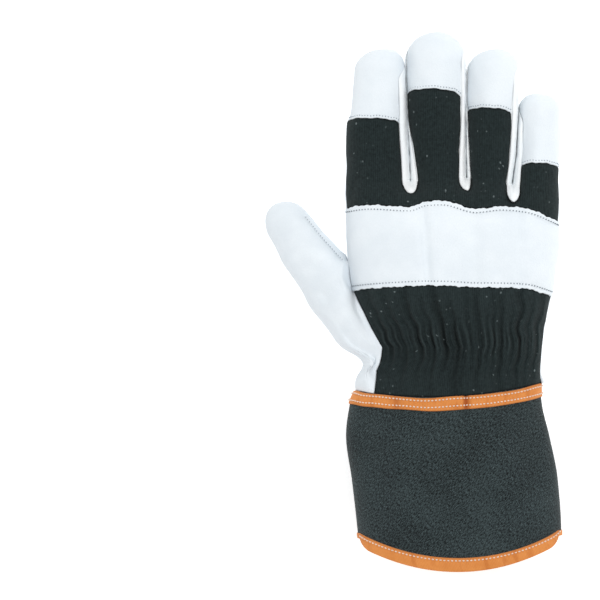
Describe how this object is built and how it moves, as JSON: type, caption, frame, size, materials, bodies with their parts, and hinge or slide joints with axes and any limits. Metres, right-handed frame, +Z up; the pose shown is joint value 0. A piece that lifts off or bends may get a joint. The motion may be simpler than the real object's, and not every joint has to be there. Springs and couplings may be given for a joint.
{
  "type": "rigger glove",
  "caption": "Right-hand rigger work glove lying palm down: leather palm, thumb and fingertips, cotton back with a leather knuckle strap, gathered wrist and a flared denim cuff.",
  "frame": {"origin": "under the middle of the glove's bounding box, on the surface that it lies on", "axes": "+Y from the cuff to the fingertips, -X towards the thumb, +Z up out of the back of the hand"},
  "size_m": [0.1488, 0.27, 0.0483],
  "materials": {
    "leather": "smooth full-grain, matt",
    "cotton": "woven drill",
    "denim": "stiff rubberised denim",
    "tape": "folded binding tape"
  },
  "bodies": {
    "root": {"palm": "leather", "front_middle": "leather", "front_ring": "leather", "thumb": "leather", "back_upper": "cotton", "knuckle_strap": "leather", "back_lower": "cotton", "tip_index": "leather", "tip_middle": "leather", "tip_ring": "leather", "tip_little": "leather", "sidewall_index_middle": "leather", "sidewall_middle_ring": "leather", "sidewall_ring_little": "leather", "cuff": "denim", "wrist_binding": "tape", "hem_binding": "tape"}
  },
  "joints": []
}
